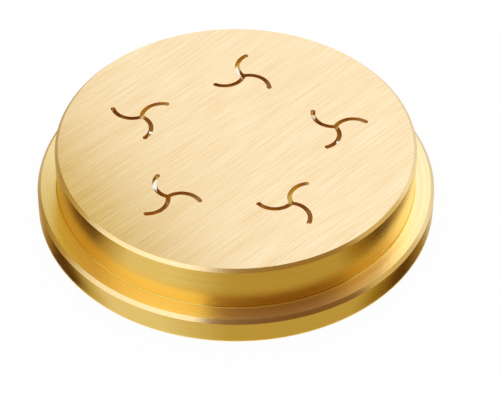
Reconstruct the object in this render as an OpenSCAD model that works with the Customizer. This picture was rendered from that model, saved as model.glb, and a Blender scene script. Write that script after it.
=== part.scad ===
// Round pasta extrusion die, turned and milled from one piece of brass.
// Its back face lies on the XY plane, its axis is Z and its outlet face looks up.

/* [Body] */
// Diameter of the boss that carries the outlet face
boss_d = 57; // [50:0.1:75]
// Width of the flange's ledge, from the boss to the rim
ledge_w = 3.1; // [1.5:0.1:8]
// Height from the back face to the outlet face
die_h = 12; // [9:0.1:20]
// Thickness of the flange
flange_t = 4.2; // [2:0.1:6]
// Bevel round the outlet face
face_bevel = 0.5; // [0.1:0.05:1]
// Bevel round the top of the flange's rim
rim_bevel = 0.55; // [0.1:0.05:1]
// Radius in the corner where the boss meets the ledge
foot_r = 0.2; // [0.05:0.05:0.5]

/* [Swirls] */
// Number of swirl outlets
swirls = 5; // [3:1:6]
// Diameter of the circle that the middles of the swirls lie on
pitch_d = 32.4; // [29:0.1:35]
// Direction of the first swirl, in degrees from +X
first_swirl = 13.7; // [0:0.1:72]
// Number of arms in a swirl
arms = 3; // [2:1:4]
// Diameter of the circle that an outlet's arm tips touch
swirl_d = 10.8; // [8:0.1:12]
// Angle that an arm turns through, from the middle to its tip
arm_sweep = 103; // [70:1:140]
// Width of a slot
slot_w = 0.75; // [0.5:0.05:1.2]
// How much wider than the slot the drilled tip of an arm is
tip_relief = 0.05; // [0.02:0.01:0.3]

/* [Feed] */
// Thickness of the land that the slots pass through
land_t = 1.1; // [0.6:0.1:3]
// Room between the arm tips and the wall of a feed bore
feed_margin = 0.6; // [0.2:0.1:1.2]
// Bevel at the mouth of a feed bore
mouth_bevel = 0.8; // [0.2:0.1:1.2]

/* [Hidden] */
$fn = 96;
brass = "#dcb968";
overrun = 1; // how far a cut runs past the face that it opens
boss_r = boss_d / 2;
rim_r = boss_r + ledge_w;
tip_d = slot_w + tip_relief;
arm_chord = swirl_d / 2 - tip_d / 2; // from the swirl's middle to the middle of the arm's tip
arm_r = arm_chord / (2 * sin(arm_sweep / 2));
slot_depth = land_t + overrun; // below the outlet face, into the feed bore
slot_h = slot_depth + overrun;
feed_r = swirl_d / 2 + feed_margin;
feed_depth = die_h - land_t;

// Half section of the turned blank, with a round corner at the foot of the boss
module section() {
    difference() {
        polygon([
            [0, 0],
            [rim_r, 0],
            [rim_r, flange_t - rim_bevel],
            [rim_r - rim_bevel, flange_t],
            [boss_r + foot_r, flange_t],
            [boss_r + foot_r, flange_t + foot_r],
            [boss_r, flange_t + foot_r],
            [boss_r, die_h - face_bevel],
            [boss_r - face_bevel, die_h],
            [0, die_h]
        ]);
        translate([boss_r + foot_r, flange_t + foot_r]) circle(foot_r);
    }
}

// One arm of a swirl: an arc from the middle, bending clockwise, with a round tip on +X
module arm_slot() {
    translate([arm_chord / 2, -arm_r * cos(arm_sweep / 2), 0])
        rotate(90 - arm_sweep / 2)
            rotate_extrude(angle = arm_sweep)
                translate([arm_r - slot_w / 2, 0]) square([slot_w, slot_h]);
    translate([arm_chord, 0, 0]) cylinder(d = tip_d, h = slot_h);
}

// A whole outlet, cut through the land, with a round hub where its arms meet
module swirl_slot() {
    translate([0, 0, die_h - slot_depth]) {
        cylinder(d = slot_w, h = slot_h);
        for (i = [0 : arms - 1]) rotate(i * 360 / arms) arm_slot();
    }
}

// The bore behind an outlet, open to the back face through a bevelled mouth
module feed_bore() {
    translate([0, 0, -overrun]) cylinder(r = feed_r, h = feed_depth + overrun);
    translate([0, 0, -overrun])
        cylinder(r1 = feed_r + mouth_bevel + overrun, r2 = feed_r, h = mouth_bevel + overrun);
}

// Places what it is given at every outlet, with +X pointing out from the die's axis
module at_outlets() {
    for (i = [0 : swirls - 1])
        rotate(first_swirl + i * 360 / swirls) translate([pitch_d / 2, 0, 0]) children();
}

module die() {
    color(brass)
        difference() {
            rotate_extrude() section();
            at_outlets() feed_bore();
            at_outlets() swirl_slot();
        }
}

die();
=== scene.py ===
import bpy
from math import cos, pi, radians, sin
from mathutils import Matrix, Vector


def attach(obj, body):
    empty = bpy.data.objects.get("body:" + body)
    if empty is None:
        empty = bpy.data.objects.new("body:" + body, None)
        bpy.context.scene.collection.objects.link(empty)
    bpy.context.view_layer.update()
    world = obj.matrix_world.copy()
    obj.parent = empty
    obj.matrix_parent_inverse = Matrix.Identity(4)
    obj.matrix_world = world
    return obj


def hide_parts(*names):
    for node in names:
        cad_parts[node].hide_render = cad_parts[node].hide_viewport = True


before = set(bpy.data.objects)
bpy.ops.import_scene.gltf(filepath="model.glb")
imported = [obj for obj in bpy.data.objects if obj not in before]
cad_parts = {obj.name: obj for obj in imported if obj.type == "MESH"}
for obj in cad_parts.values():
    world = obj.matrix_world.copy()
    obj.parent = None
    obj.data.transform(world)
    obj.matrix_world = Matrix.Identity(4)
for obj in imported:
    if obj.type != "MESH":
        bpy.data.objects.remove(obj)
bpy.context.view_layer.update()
print("frame loaded:", sorted(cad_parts))

mm = 0.001


# One output of a node tree. Arithmetic on it adds Math nodes.
class Wire:
    def __init__(self, tree, socket):
        self.tree = tree
        self.socket = socket

    def out(self, name):
        return Wire(self.tree, self.socket.node.outputs[name])

    def math(self, operation, *values):
        return self.tree.add("ShaderNodeMath", {"operation": operation}, dict(enumerate(values)))

    def __add__(self, other):
        return self.math("ADD", self, other)

    def __radd__(self, other):
        return self.math("ADD", other, self)

    def __sub__(self, other):
        return self.math("SUBTRACT", self, other)

    def __rsub__(self, other):
        return self.math("SUBTRACT", other, self)

    def __mul__(self, other):
        return self.math("MULTIPLY", self, other)

    def __rmul__(self, other):
        return self.math("MULTIPLY", other, self)

    def __truediv__(self, other):
        return self.math("DIVIDE", self, other)

    def __rtruediv__(self, other):
        return self.math("DIVIDE", other, self)

    def __gt__(self, other):
        return self.math("GREATER_THAN", self, other)


# A node tree that is written as Python: add makes any node and gives its first output.
class Tree:
    def __init__(self, nodeTree):
        self.nodes = nodeTree.nodes
        self.links = nodeTree.links

    def add(self, kind, settings={}, sockets={}):
        node = self.nodes.new(kind)
        for name, value in settings.items():
            if name == "stops":
                self.setStops(node.color_ramp, value)
            else:
                setattr(node, name, value)
        for name, value in sockets.items():
            for part in value if isinstance(value, list) else [value]:
                if isinstance(part, Wire):
                    self.links.new(part.socket, node.inputs[name])
                else:
                    node.inputs[name].default_value = part
        return Wire(self, node.outputs[0]) if len(node.outputs) else node

    def setStops(self, ramp, stops):
        while len(ramp.elements) < len(stops):
            ramp.elements.new(1.0)
        for element, (position, shade) in zip(ramp.elements, stops):
            element.position = position
            element.color = shade

    def mix(self, factor, first, second):
        made = self.add("ShaderNodeMix", {"data_type": "RGBA"}, {0: factor, 6: first, 7: second})
        return Wire(self, made.socket.node.outputs[2])

    def noise(self, place, scale, detail, roughness=0.5):
        values = {"Vector": place, "Scale": scale, "Detail": detail, "Roughness": roughness}
        return self.add("ShaderNodeTexNoise", {}, values)

    # runs from 0 to 1 between two values
    def rise(self, value, start, end):
        return self.add("ShaderNodeMapRange", {}, {"Value": value, "From Min": start, "From Max": end})

    # the same between two lengths in mm
    def fade(self, value, start, end):
        return self.rise(value, start * mm, end * mm)

    # depth in mm
    def bump(self, height, strength, depth):
        values = {"Height": height, "Strength": strength, "Distance": depth * mm}
        return self.add("ShaderNodeBump", {}, values)


def newMaterial(name):
    material = bpy.data.materials.new(name)
    material.use_nodes = True
    material.node_tree.nodes.clear()
    return material, Tree(material.node_tree)


def finishMaterial(tree, settings):
    shader = tree.add("ShaderNodeBsdfPrincipled", {}, settings)
    tree.add("ShaderNodeOutputMaterial", {}, {"Surface": shader})


# Camera at the height and distance from which the die is seen
photoView = {
    "elevation": 43.42,  # degrees above the table
    "distance": 402.25,  # mm from the middle of the back face
    "lens": 180.3,  # mm
    "sensor": 36,
    "aimRight": 2.26,  # mm, how far the view's middle lies beside the die's
    "aimDown": 1.90,
    "roll": 0.363,  # degrees
}


def makeCamera(view):
    lift = radians(view["elevation"])
    back = Vector((0, -cos(lift), sin(lift)))
    right = Vector((1, 0, 0))
    up = back.cross(right)
    place = back * view["distance"] * mm
    target = (right * view["aimRight"] - up * view["aimDown"]) * mm
    lens = bpy.data.cameras.new("photoCamera")
    lens.lens = view["lens"]
    lens.sensor_width = view["sensor"]
    camera = bpy.data.objects.new("photoCamera", lens)
    turn = (target - place).to_track_quat("-Z", "Y").to_matrix().to_4x4()
    roll = Matrix.Rotation(radians(view["roll"]), 4, "Z")
    camera.matrix_world = Matrix.Translation(place) @ turn @ roll
    bpy.context.scene.collection.objects.link(camera)
    bpy.context.scene.camera = camera


makeCamera(photoView)
print("camera placed")


# Colours of the brass: brushed face, turned walls, bevels and ledge, milled bores and cut slots, with
# painted light, shade and highlights at the wall's foot, in the bores and in the slots
brassLook = {
    "facePale": (0.95, 0.785, 0.525, 1),
    "faceDeep": (0.86, 0.65, 0.37, 1),
    "wallPale": (0.93, 0.70, 0.19, 1),
    "wallDeep": (0.87, 0.62, 0.14, 1),
    "bossPale": (0.92, 0.675, 0.165, 1),
    "bossDeep": (0.86, 0.60, 0.12, 1),
    # painted reflection colour for the foot of the boss wall
    "cornerDeep": (0.80, 0.42, 0.05, 1),
    "bevelPale": (0.91, 0.72, 0.40, 1),
    "bevelDeep": (0.86, 0.66, 0.31, 1),
    "ledgePale": (0.97, 0.83, 0.50, 1),
    "ledgeDeep": (0.92, 0.75, 0.40, 1),
    "mouthPale": (0.90, 0.68, 0.32, 1),
    # painted highlight, painted light and painted shade inside the bores
    "boreHighlight": (1.0, 0.98, 0.92, 1),
    "boreLit": (0.62, 0.385, 0.08, 1),
    "boreShaded": (0.33, 0.125, 0.014, 1),
    # the pale slot colour also carries painted light on the arms that point backwards
    "slotPale": (0.97, 0.66, 0.19, 1),
    "slotDeep": (0.50, 0.19, 0.03, 1),
}

# Strokes of the brush on the outlet face: length and pitch in mm, then detail
brushLook = {
    "angle": 45.3,  # degrees from +X
    "hairs": (7, 0.14, 0.0),
    "scratches": (11, 0.28, 1.0),
    "broad": (28, 1.8, 0.0),
    "strokeRough": 0.6,
    "hairShare": 0.4,
    "scratchShare": 0.46,
    "broadShare": 0.14,
    "tone": (0.375, 0.61),  # grain that shows the deep and the pale colour
    "rough": 0.19,
    "hairRough": 0.12,
    "bump": 1.0,
    "depth": 0.003,  # mm
}


def brushedMaterial(name, colours, look):
    material, tree = newMaterial(name)
    place = tree.add("ShaderNodeTexCoord").out("Object")
    turn = {"Vector": place, "Rotation": (0, 0, radians(look["angle"]))}
    along = tree.add("ShaderNodeMapping", {"vector_type": "TEXTURE"}, turn)

    # noise drawn out along the brush
    def strokes(length, pitch, detail):
        stretch = {0: along, 1: (1 / (length * mm), 1 / (pitch * mm), 1)}
        drawn = tree.add("ShaderNodeVectorMath", {"operation": "MULTIPLY"}, stretch)
        return tree.noise(drawn, 1.0, detail, look["strokeRough"])

    hairs = strokes(*look["hairs"])
    scratches = strokes(*look["scratches"])
    broad = strokes(*look["broad"])
    grain = hairs * look["hairShare"] + scratches * look["scratchShare"] + broad * look["broadShare"]
    tone = tree.rise(grain, *look["tone"])
    finishMaterial(
        tree,
        {
            "Base Color": tree.mix(tone, colours["faceDeep"], colours["facePale"]),
            "Metallic": 1.0,
            "Roughness": look["rough"] + hairs * look["hairRough"],
            "Normal": tree.bump(hairs + scratches, look["bump"], look["depth"]),
        },
    )
    return material


# Tool marks that run round the die
turnedLook = {
    "pitch": 0.3,  # mm
    "wander": 2.0,  # how far a mark strays, in pitches
    "wanderScale": 45.0,
    "tone": (0.3, 0.7),
    "rough": 0.2,
    "markRough": 0.1,
    "bump": 0.03,
    "depth": 0.02,  # mm
    "anisotropy": 0.6,
    "markTurn": 0.25,  # of a full turn
}
# the boss wall takes a painted reflection, deeper amber below these heights
steppedLook = {**turnedLook, "corner": (8.0, 5.5), "cornerShare": 0.33}  # mm above the back face
facedLook = {**turnedLook, "pitch": 0.35, "rough": 0.24}


def ringMaterial(name, pale, deep, colours, look):
    material, tree = newMaterial(name)
    place = tree.add("ShaderNodeTexCoord").out("Object")
    flat = tree.add("ShaderNodeVectorMath", {"operation": "MULTIPLY"}, {0: place, 1: (1, 1, 0)})
    radius = tree.add("ShaderNodeVectorMath", {"operation": "LENGTH"}, {0: flat}).out("Value")
    height = tree.add("ShaderNodeSeparateXYZ", {}, {0: place}).out("Z")
    track = (radius + height) / (look["pitch"] * mm)  # across the marks on walls and ledges alike
    wander = tree.noise(place, look["wanderScale"], 0.0)
    across = tree.add("ShaderNodeCombineXYZ", {}, {"X": track, "Y": wander * look["wander"]})
    marks = tree.noise(across, 1.0, 1.0)
    colour = tree.mix(tree.rise(marks, *look["tone"]), colours[deep], colours[pale])
    if "corner" in look:  # painted reflection: deeper amber towards the wall's foot, standing in for the ledge mirrored in it
        paintedReflectionMask = tree.fade(height, *look["corner"]) * look["cornerShare"]
        colour = tree.mix(paintedReflectionMask, colour, colours["cornerDeep"])
    finishMaterial(
        tree,
        {
            "Base Color": colour,
            "Metallic": 1.0,
            "Roughness": look["rough"] + marks * look["markRough"],
            "Normal": tree.bump(marks, look["bump"], look["depth"]),
            "Anisotropic": look["anisotropy"],
            "Anisotropic Rotation": look["markTurn"],
        },
    )
    return material


# place sideways and backwards from the axis of the nearest bore, and the height
def fromBoreAxis(tree, place, size):
    spot = tree.add("ShaderNodeSeparateXYZ", {}, {0: place})
    first = radians(size["firstSwirl"])
    step = 2 * pi / size["swirls"]
    turn = (spot.math("ARCTAN2", spot.out("Y"), spot.out("X")) - first) / step
    axis = turn.math("ROUND", turn) * step + first
    reach = size["pitchRadius"] * mm
    x = spot.out("X") - axis.math("COSINE", axis) * reach
    y = spot.out("Y") - axis.math("SINE", axis) * reach
    return x, y, spot.out("Z")


# Stained walls of the slots, with painted light on the arms that point backwards: scale and detail of the
# noises
slotLook = {
    "stain": (420.0, 2.0),
    "speckle": (3500.0, 2.0),
    "stainShare": 0.8,
    "speckleShare": 0.2,
    "tone": (0.3, 0.7),
    "patchShare": 0.7,
    "paintedBright": (0, 3.5),  # mm backwards from the bore's axis
    "paintedBrightShare": 0.6,
    "rough": 0.22,
    "speckleRough": 0.16,
    "bump": 0.1,
    "depth": 0.02,  # mm
}


def slotMaterial(name, colours, look, size):
    material, tree = newMaterial(name)
    place = tree.add("ShaderNodeTexCoord").out("Object")
    backwards = fromBoreAxis(tree, place, size)[1]
    stain = tree.noise(place, *look["stain"])
    speckle = tree.noise(place, *look["speckle"])
    patch = tree.rise(stain * look["stainShare"] + speckle * look["speckleShare"], *look["tone"])
    # painted light: arms that point backwards lean to the pale colour
    paintedBright = tree.fade(backwards, *look["paintedBright"])  # arms that point backwards are brighter
    tone = patch * look["patchShare"] + paintedBright * look["paintedBrightShare"]
    tone = tone.math("MINIMUM", tone, 1.0)
    finishMaterial(
        tree,
        {
            "Base Color": tree.mix(tone, colours["slotDeep"], colours["slotPale"]),
            "Metallic": 1.0,
            "Roughness": look["rough"] + speckle * look["speckleRough"],
            "Normal": tree.bump(speckle, look["bump"], look["depth"]),
        },
    )
    return material


# Walls of the feed bores, with painted light, shade and highlights. Each pair is two places in mm between
# which a zone fades in.
boreLook = {
    "speckle": (900.0, 3.0),
    "speckleShare": 0.4,
    "back": (-1, 1),
    "upper": (5.8, 6.5),
    "upperSlant": 0.93,
    "highlightEdge": (-0.1, 0.25),
    "highlightTop": 5.85,
    "highlightSlant": 2.9,
    "mouthTop": (2.9, 2.5),
    "mouthSide": (-0.5, 1.5),
    "glintTop": (3.6, 3.4),
    "glintFoot": (2.9, 3.1),
    "glintSide": (2.0, 1.4),
    "rough": 0.42,
    "upperGloss": 0.28,
    "mouthGloss": 0.16,
    "glintGloss": 0.2,
    "bump": 0.04,
    "depth": 0.02,
}


def boreMaterial(name, colours, look, size):
    material, tree = newMaterial(name)
    place = tree.add("ShaderNodeTexCoord").out("Object")
    x, y, height = fromBoreAxis(tree, place, size)
    speckle = tree.noise(place, *look["speckle"])
    back = tree.fade(y, *look["back"])
    # painted light and shade: lighter near the land, darker further down
    upper = tree.fade(x.math("MINIMUM", x, 0.0) * back * look["upperSlant"] + height, *look["upper"])
    # painted highlight on one side, that ends in a slant
    slant = look["highlightTop"] * mm - x * look["highlightSlant"] - height
    bright = tree.fade(slant, *look["highlightEdge"]) * back
    # painted lighter patch on one side of the mouth
    mouth = tree.fade(height, *look["mouthTop"]) * tree.fade(x, *look["mouthSide"])
    # painted glint above the mouth
    paintedGlint = tree.fade(height, *look["glintTop"]) * tree.fade(height, *look["glintFoot"])
    paintedGlint = paintedGlint * tree.fade(x, *look["glintSide"]) * back
    paintedBright = tree.mix(bright, colours["boreLit"], colours["boreHighlight"])
    inside = tree.mix(upper + (speckle - 0.5) * look["speckleShare"], colours["boreShaded"], paintedBright)
    gloss = upper * look["upperGloss"] + mouth * look["mouthGloss"] + paintedGlint * look["glintGloss"]
    finishMaterial(
        tree,
        {
            "Base Color": tree.mix(paintedGlint, tree.mix(mouth, inside, colours["mouthPale"]), colours["boreHighlight"]),
            "Metallic": 1.0,
            "Roughness": look["rough"] - gloss,
            "Normal": tree.bump(speckle, look["bump"], look["depth"]),
        },
    )
    return material


# Flat end of a bore, with the rings that the mill leaves
endLook = {
    "pitch": 0.25,  # mm
    "wanderScale": 300.0,
    "rough": 0.26,
    "markRough": 0.14,
    "bump": 0.05,
    "depth": 0.02,  # mm
}


def endMaterial(name, colours, look, size):
    material, tree = newMaterial(name)
    place = tree.add("ShaderNodeTexCoord").out("Object")
    x, y = fromBoreAxis(tree, place, size)[:2]
    square = x * x + y * y
    radius = square.math("SQRT", square)
    wander = tree.noise(place, look["wanderScale"], 0.0)
    track = tree.add("ShaderNodeCombineXYZ", {}, {"X": radius / (look["pitch"] * mm), "Y": wander})
    marks = tree.noise(track, 1.0, 1.0)
    finishMaterial(
        tree,
        {
            "Base Color": tree.mix(marks, colours["wallDeep"], colours["ledgeDeep"]),
            "Metallic": 1.0,
            "Roughness": look["rough"] + marks * look["markRough"],
            "Normal": tree.bump(marks, look["bump"], look["depth"]),
        },
    )
    return material


# The die, turned from bar and then cut with swirl slots and feed bores. Lengths in mm.
dieSizes = {
    "bossRadius": 28.5,
    "rimRadius": 31.6,
    "height": 12.0,
    "flange": 4.2,
    "faceBevel": 0.5,
    "rimBevel": 0.55,
    "footRadius": 0.2,
    "swirls": 5,
    "firstSwirl": 13.7,  # degrees from +X
    "pitchRadius": 16.2,
    "arms": 3,
    "armSweep": 103.0,  # degrees
    "swirlRadius": 5.4,
    "slotWidth": 0.75,
    "tipWidth": 0.8,
    "land": 1.1,
    "feedRadius": 6.0,
    "mouthBevel": 0.8,
    "overrun": 1.0,  # how far a cutter reaches past the face that it opens
}
# How finely it is meshed
dieMesh = {
    "turns": 256,  # facets round the blank
    "footSteps": 4,
    "armSteps": 48,
    "tipFacets": 32,
    "boreFacets": 128,
    "weld": 0.002,  # mm
    "crisp": 30,  # degrees, from which an edge is shaded sharp
    "endSlope": 0.9,  # upward normal, from which a cutter's face is its flat end
    "faceDepth": 0.001,  # mm below the outlet face that still count as it
}

finishes = {
    "brushed": brushedMaterial("brushedBrass", brassLook, brushLook),
    "turned": ringMaterial("turnedBrass", "wallPale", "wallDeep", brassLook, turnedLook),
    "stepped": ringMaterial("steppedBrass", "bossPale", "bossDeep", brassLook, steppedLook),
    "bevelled": ringMaterial("bevelledBrass", "bevelPale", "bevelDeep", brassLook, facedLook),
    "faced": ringMaterial("facedBrass", "ledgePale", "ledgeDeep", brassLook, facedLook),
    "milled": boreMaterial("milledBrass", brassLook, boreLook, dieSizes),
    "ended": endMaterial("endedBrass", brassLook, endLook, dieSizes),
    "cut": slotMaterial("cutBrass", brassLook, slotLook, dieSizes),
}
print("finishes made:", ", ".join(finishes))


# Rings of the turned section from the back face up: radius, height and the finish of the band above it
def turnedSection(size, steps):
    boss = size["bossRadius"]
    rim = size["rimRadius"]
    foot = size["footRadius"]
    flange = size["flange"]
    rings = [
        (rim, 0, "turned"),
        (rim, flange - size["rimBevel"], "bevelled"),
        (rim - size["rimBevel"], flange, "faced"),
    ]
    for i in range(steps):
        angle = i / steps * pi / 2
        rings.append((boss + foot * (1 - sin(angle)), flange + foot * (1 - cos(angle)), "turned"))
    rings.append((boss, flange + foot, "stepped"))
    rings.append((boss, size["height"] - size["faceBevel"], "bevelled"))
    rings.append((boss - size["faceBevel"], size["height"], "brushed"))
    return rings


dieInputs = {
    "NodeSocketFloat": [
        "Pitch Radius",
        "Arm Radius",
        "Arm Chord",
        "Slot Width",
        "Tip Width",
        "Land",
        "Feed Radius",
        "Mouth Bevel",
        "First Swirl",
        "Arm Sweep",
    ],
    "NodeSocketInt": ["Swirls", "Arms"],
}


def dieTree(size, grid, finishes):
    group = bpy.data.node_groups.new("extrusionDie", "GeometryNodeTree")
    for kind, names in dieInputs.items():
        for name in names:
            group.interface.new_socket(name, in_out="INPUT", socket_type=kind)
    group.interface.new_socket("Geometry", in_out="OUTPUT", socket_type="NodeSocketGeometry")
    tree = Tree(group)
    given = tree.add("NodeGroupInput")

    def moved(geometry, spot, turn=(0, 0, 0)):
        values = {"Geometry": geometry, "Translation": spot, "Rotation": turn}
        return tree.add("GeometryNodeTransform", {}, values)

    def finished(geometry, finish, where=True):
        values = {"Geometry": geometry, "Selection": where, "Material": finishes[finish]}
        return tree.add("GeometryNodeSetMaterial", {}, values)

    def cone(fill, facets, low, high, depth):
        values = {"Vertices": facets, "Radius Bottom": low, "Radius Top": high, "Depth": depth}
        return tree.add("GeometryNodeMeshCone", {"fill_type": fill}, values)

    def cylinder(facets, radius, depth):
        values = {"Vertices": facets, "Radius": radius, "Depth": depth}
        return tree.add("GeometryNodeMeshCylinder", {"fill_type": "NGON"}, values)

    def band(low, high):
        side = cone("NONE", grid["turns"], low[0] * mm, high[0] * mm, (high[1] - low[1]) * mm)
        return finished(moved(side, (0, 0, low[1] * mm)), low[2])

    def disc(ring, finish, turn):
        values = {"Vertices": grid["turns"], "Radius": ring[0] * mm}
        flat = tree.add("GeometryNodeMeshCircle", {"fill_type": "NGON"}, values)
        return finished(moved(flat, (0, 0, ring[1] * mm), turn), finish)

    def joined(meshes):
        settings = {"operation": "UNION", "solver": "MANIFOLD"}
        return tree.add("GeometryNodeMeshBoolean", settings, {"Mesh 2": meshes})

    def cutFrom(body, cutter):
        settings = {"operation": "DIFFERENCE", "solver": "MANIFOLD"}
        return tree.add("GeometryNodeMeshBoolean", settings, {"Mesh 1": body, "Mesh 2": cutter})

    def vector(x=0.0, y=0.0, z=0.0):
        return tree.add("ShaderNodeCombineXYZ", {}, {"X": x, "Y": y, "Z": z})

    def around(count, geometry, start, reach):
        index = tree.add("GeometryNodeInputIndex")
        angle = start + index * (2 * pi) / count
        spot = vector(angle.math("COSINE", angle) * reach, angle.math("SINE", angle) * reach)
        points = tree.add("GeometryNodePoints", {}, {"Count": count, "Position": spot})
        turned = tree.add("FunctionNodeEulerToRotation", {}, {"Euler": vector(z=angle)})
        values = {"Points": points, "Instance": geometry, "Rotation": turned}
        return tree.add("GeometryNodeInstanceOnPoints", {}, values)

    # turned blank
    rings = turnedSection(size, grid["footSteps"])
    bands = [band(low, high) for low, high in zip(rings, rings[1:])]
    caps = [disc(rings[0], "faced", (pi, 0, 0)), disc(rings[-1], "brushed", (0, 0, 0))]
    loose = tree.add("GeometryNodeJoinGeometry", {}, {"Geometry": bands + caps})
    weld = {"Geometry": loose, "Distance": grid["weld"] * mm}
    blank = tree.add("GeometryNodeMergeByDistance", {}, weld)

    # one arm: an arc swept with the slot's section, with a drilled tip
    over = size["overrun"] * mm
    slotHeight = given.out("Land") + 2 * over
    slotMiddle = size["height"] * mm + over - slotHeight * 0.5
    sweep = given.out("Arm Sweep")
    halfSweep = sweep * 0.5
    arc = tree.add(
        "GeometryNodeCurveArc",
        {"mode": "RADIUS"},
        {
            "Resolution": grid["armSteps"],
            "Radius": given.out("Arm Radius"),
            "Start Angle": pi / 2 - halfSweep,
            "Sweep Angle": sweep,
        },
    )
    section = tree.add(
        "GeometryNodeCurvePrimitiveQuadrilateral",
        {"mode": "RECTANGLE"},
        {"Width": given.out("Slot Width"), "Height": slotHeight},
    )
    swept = {"Curve": arc, "Profile Curve": section, "Fill Caps": True}
    ribbon = tree.add("GeometryNodeCurveToMesh", {}, swept)
    drop = given.out("Arm Radius") * halfSweep.math("COSINE", halfSweep)
    arm = moved(ribbon, vector(given.out("Arm Chord") * 0.5, 0 - drop, slotMiddle))
    drilled = cylinder(grid["tipFacets"], given.out("Tip Width") * 0.5, slotHeight)
    tip = moved(drilled, vector(given.out("Arm Chord"), 0.0, slotMiddle))
    spokes = [around(given.out("Arms"), cutter, 0.0, 0.0) for cutter in (arm, tip)]
    swirl = finished(joined(spokes), "cut")

    # one feed bore with its flat end and bevelled mouth
    feedRadius = given.out("Feed Radius")
    feedDepth = size["height"] * mm - given.out("Land")
    straight = cylinder(grid["boreFacets"], feedRadius, feedDepth + over)
    bore = moved(straight, vector(z=(feedDepth - over) * 0.5))
    mouthDepth = given.out("Mouth Bevel") + over
    flare = cone("NGON", grid["boreFacets"], feedRadius + mouthDepth, feedRadius, mouthDepth)
    mouth = moved(flare, vector(z=0 - over))
    feed = finished(joined([bore, mouth]), "milled")
    upward = tree.add("ShaderNodeSeparateXYZ", {}, {0: tree.add("GeometryNodeInputNormal")}).out("Z")
    feed = finished(feed, "ended", upward > grid["endSlope"])

    body = blank
    for cutter in (swirl, feed):
        placed = around(given.out("Swirls"), cutter, given.out("First Swirl"), given.out("Pitch Radius"))
        body = cutFrom(body, placed)

    bend = tree.add("GeometryNodeInputMeshEdgeAngle").out("Unsigned Angle")
    sharp = {"Geometry": body, "Selection": bend > radians(grid["crisp"]), "Shade Smooth": False}
    crisp = tree.add("GeometryNodeSetShadeSmooth", {"domain": "EDGE"}, sharp)
    whole = tree.add("GeometryNodeRealizeInstances", {}, {"Geometry": crisp})
    height = tree.add("ShaderNodeSeparateXYZ", {}, {0: tree.add("GeometryNodeInputPosition")}).out("Z")
    faced = finished(whole, "brushed", height > (size["height"] - grid["faceDepth"]) * mm)
    tree.add("NodeGroupOutput", {}, {"Geometry": faced})
    return group


def makeDie(size, grid, finishes):
    chord = size["swirlRadius"] - size["tipWidth"] / 2
    values = {
        "Pitch Radius": size["pitchRadius"] * mm,
        "Arm Radius": chord / (2 * sin(radians(size["armSweep"] / 2))) * mm,
        "Arm Chord": chord * mm,
        "Slot Width": size["slotWidth"] * mm,
        "Tip Width": size["tipWidth"] * mm,
        "Land": size["land"] * mm,
        "Feed Radius": size["feedRadius"] * mm,
        "Mouth Bevel": size["mouthBevel"] * mm,
        "First Swirl": radians(size["firstSwirl"]),
        "Arm Sweep": radians(size["armSweep"]),
        "Swirls": size["swirls"],
        "Arms": size["arms"],
    }
    group = dieTree(size, grid, finishes)
    carrier = bpy.data.objects.new("dieBlank", bpy.data.meshes.new("dieBlank"))
    bpy.context.scene.collection.objects.link(carrier)
    modifier = carrier.modifiers.new("extrusionDie", "NODES")
    modifier.node_group = group
    for item in group.interface.items_tree:
        if item.in_out == "INPUT":
            modifier[item.identifier] = values[item.name]
    shaped = carrier.evaluated_get(bpy.context.evaluated_depsgraph_get())
    mesh = bpy.data.meshes.new_from_object(shaped)
    while None in mesh.materials[:]:
        mesh.materials.pop(index=mesh.materials[:].index(None))
    bpy.data.objects.remove(carrier)
    die = bpy.data.objects.new("brassDie", mesh)
    bpy.context.scene.collection.objects.link(die)
    return die


die = makeDie(dieSizes, dieMesh, finishes)
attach(die, "root")
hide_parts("die")
print("die made:", len(die.data.polygons), "faces,", [m.name for m in die.data.materials])


# Pale floor, soft lamps and reflector cards. Azimuths run from the front (-Y) towards +X, in degrees.
stageLook = {
    "floorSize": 6.0,  # metres across
    "floorLevel": -0.01,  # mm, just clear of the back face
    "floorShade": (0.95, 0.95, 0.95, 1),
    "floorGlow": 0.96,  # share of plain white that is seen on the floor
    "skyStrength": 0.7,
}
# Width, height and distance in metres
softboxes = {
    "backBox": {"azimuth": 147, "lift": 36, "distance": 0.45, "size": (0.86, 0.5), "radiance": 0.39},
    "leftBox": {"azimuth": -53.5, "lift": 43, "distance": 0.45, "size": (0.68, 0.26), "radiance": 0.74},
    "topBox": {"azimuth": 0, "lift": 90, "distance": 0.5, "size": (0.42, 0.42), "radiance": 0.3},
    "rightBox": {"azimuth": 137, "lift": 43, "distance": 0.45, "size": (0.26, 0.2), "radiance": 0.58},
}
cards = {
    "frontCard": {
        "azimuth": 36,
        "lift": 47,
        "distance": 0.3,
        "size": (0.41, 0.28),
        "shade": (0.35, 0.21, 0.035, 1),
    },
    "sideCard": {
        "azimuth": 90,
        "lift": 33,
        "distance": 0.28,
        "size": (0.15, 0.26),
        "shade": (0.71, 0.55, 0.22, 1),
    },
    "lowCard": {
        "azimuth": -114,
        "lift": 5,
        "distance": 0.3,
        "size": (0.42, 0.17),
        "shade": (0.36, 0.23, 0.03, 1),
    },
    "highCard": {
        "azimuth": -117,
        "lift": 44,
        "distance": 0.29,
        "size": (0.28, 0.26),
        "shade": (0.68, 0.50, 0.14, 1),
    },
    "stepCard": {
        "azimuth": 19,
        "lift": 13,
        "distance": 0.044,
        "size": (0.052, 0.0195),
        "shade": (0.17, 0.07, 0.015, 1),
    },
    "nearCard": {
        "azimuth": -146.8,
        "lift": 45,
        "distance": 0.13,
        "roll": 23.2,
        "size": (0.034, 0.104),
        "shade": (0.60, 0.46, 0.03, 1),
    },
}
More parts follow.
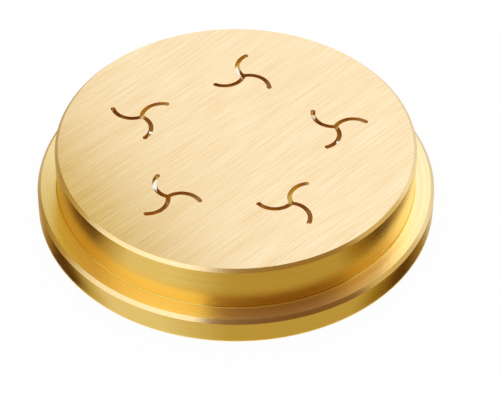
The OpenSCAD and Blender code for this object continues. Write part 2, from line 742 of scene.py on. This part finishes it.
# Card that lies round the die's foot: its shades, and the azimuths at which the walls show them
footShades = {
    "white": (0.84, 0.80, 0.88, 1),
    "cream": (0.78, 0.72, 0.62, 1),
    "tan": (0.55, 0.44, 0.23, 1),
    "amber": (0.35, 0.22, 0.05, 1),
    "brown": (0.10, 0.04, 0.006, 1),
}
footTurns = {
    "white": (-90, -35, -20, 92, 135),
    "cream": (-135, 78, 112),
    "tan": (-110, -97, -77, -43, -2, 33),
    "amber": (-69, 40, 66),
    "brown": (-61, -50, 50, 55),
}
footCard = {
    "inside": 31.7,  # mm from the axis
    "outside": 150.0,
    "lift": 0.05,  # mm
    "slantFrom": 32.6,  # mm from the axis, between which the shades slant
    "slantTo": 34.4,
    "slantNear": 0.95,  # share of the azimuth there
    "slantFar": 0.79,
    "facets": 96,
}


def seenRay(tree):
    ray = tree.add("ShaderNodeLightPath")
    seen = ray.out("Is Camera Ray") + ray.out("Is Glossy Ray") + ray.out("Is Transmission Ray")
    return seen.math("MINIMUM", seen, 1.0)


def stagePiece(name, corners, faces, material):
    mesh = bpy.data.meshes.new(name)
    mesh.from_pydata(corners, [], faces)
    mesh.materials.append(material)
    piece = bpy.data.objects.new(name, mesh)
    bpy.context.scene.collection.objects.link(piece)
    return piece


def makeFloor(look):
    material, tree = newMaterial("paleFloor")
    matt = tree.add("ShaderNodeBsdfDiffuse", {}, {"Color": look["floorShade"]})
    glow = tree.add("ShaderNodeEmission", {}, {"Color": (1, 1, 1, 1), "Strength": 1.0})
    blend = tree.add("ShaderNodeMixShader", {}, {0: seenRay(tree) * look["floorGlow"], 1: matt, 2: glow})
    under = tree.add("ShaderNodeNewGeometry").out("Backfacing")
    clear = tree.add("ShaderNodeBsdfTransparent")
    oneSided = tree.add("ShaderNodeMixShader", {}, {0: under, 1: blend, 2: clear})  # open from below
    tree.add("ShaderNodeOutputMaterial", {}, {"Surface": oneSided})
    half = look["floorSize"] / 2
    low = look["floorLevel"] * mm
    corners = [(-half, -half, low), (half, -half, low), (half, half, low), (-half, half, low)]
    stagePiece("floor", corners, [(0, 1, 2, 3)], material)


def facingDie(setup):
    turn = radians(setup["azimuth"])
    lift = radians(setup["lift"])
    away = Vector((sin(turn) * cos(lift), -cos(turn) * cos(lift), sin(lift)))
    facing = away.to_track_quat("Z", "Y").to_matrix().to_4x4()
    roll = Matrix.Rotation(radians(setup.get("roll", 0)), 4, "Z")
    return Matrix.Translation(away * setup["distance"]) @ facing @ roll


def makeSoftbox(name, setup):
    width, height = setup["size"]
    lamp = bpy.data.lights.new(name, "AREA")
    lamp.shape = "RECTANGLE"
    lamp.size = width
    lamp.size_y = height
    lamp.energy = setup["radiance"] * pi * width * height
    box = bpy.data.objects.new(name, lamp)
    box.matrix_world = facingDie(setup)
    bpy.context.scene.collection.objects.link(box)


# cards show only in the gloss of the metal
def onlyInGloss(card):
    card.visible_camera = False
    card.visible_diffuse = False
    card.visible_shadow = False
    card.visible_transmission = False


def makeCard(name, setup):
    material, tree = newMaterial(name)
    shade = tree.add("ShaderNodeEmission", {}, {"Color": setup["shade"], "Strength": 1.0})
    tree.add("ShaderNodeOutputMaterial", {}, {"Surface": shade})
    width, height = setup["size"]
    x = width / 2
    y = height / 2
    place = facingDie(setup)
    corners = [place @ Vector(c) for c in ((-x, -y, 0), (x, -y, 0), (x, y, 0), (-x, y, 0))]
    onlyInGloss(stagePiece(name, corners, [(0, 1, 2, 3)], material))


def makeFootCard(setup, shades, turns):
    material, tree = newMaterial("footCard")
    spot = tree.add("ShaderNodeTexCoord").out("Object")
    place = tree.add("ShaderNodeSeparateXYZ", {}, {0: spot})
    reach = tree.add("ShaderNodeVectorMath", {"operation": "LENGTH"}, {0: spot}).out("Value")
    slant = tree.add(
        "ShaderNodeMapRange",
        {},
        {
            "Value": reach,
            "From Min": setup["slantFrom"] * mm,
            "From Max": setup["slantTo"] * mm,
            "To Min": setup["slantNear"],
            "To Max": setup["slantFar"],
        },
    )
    turn = place.math("ARCTAN2", place.out("X"), 0 - place.out("Y")) * slant / (2 * pi) + 0.5
    stops = sorted((azimuth / 360 + 0.5, shades[name]) for name in turns for azimuth in turns[name])
    ramp = tree.add("ShaderNodeValToRGB", {"stops": stops}, {"Fac": turn})
    shade = tree.add("ShaderNodeEmission", {}, {"Color": ramp, "Strength": 1.0})
    tree.add("ShaderNodeOutputMaterial", {}, {"Surface": shade})
    count = setup["facets"]
    corners = []
    for radius in (setup["inside"], setup["outside"]):
        for i in range(count):
            angle = 2 * pi * i / count
            corners.append((radius * cos(angle) * mm, radius * sin(angle) * mm, setup["lift"] * mm))
    faces = [(i, i + count, (i + 1) % count + count, (i + 1) % count) for i in range(count)]
    onlyInGloss(stagePiece("footCard", corners, faces, material))


def makeWorld(look):
    world = bpy.data.worlds.new("studio")
    world.use_nodes = True
    world.node_tree.nodes.clear()
    tree = Tree(world.node_tree)
    sky = tree.add("ShaderNodeBackground", {}, {"Color": (1, 1, 1, 1), "Strength": look["skyStrength"]})
    tree.add("ShaderNodeOutputWorld", {}, {"Surface": sky})
    bpy.context.scene.world = world


makeFloor(stageLook)
makeWorld(stageLook)
for name, setup in softboxes.items():
    makeSoftbox(name, setup)
for name, setup in cards.items():
    makeCard(name, setup)
makeFootCard(footCard, footShades, footTurns)
bpy.context.scene.view_settings.view_transform = "Standard"
print("stage set")
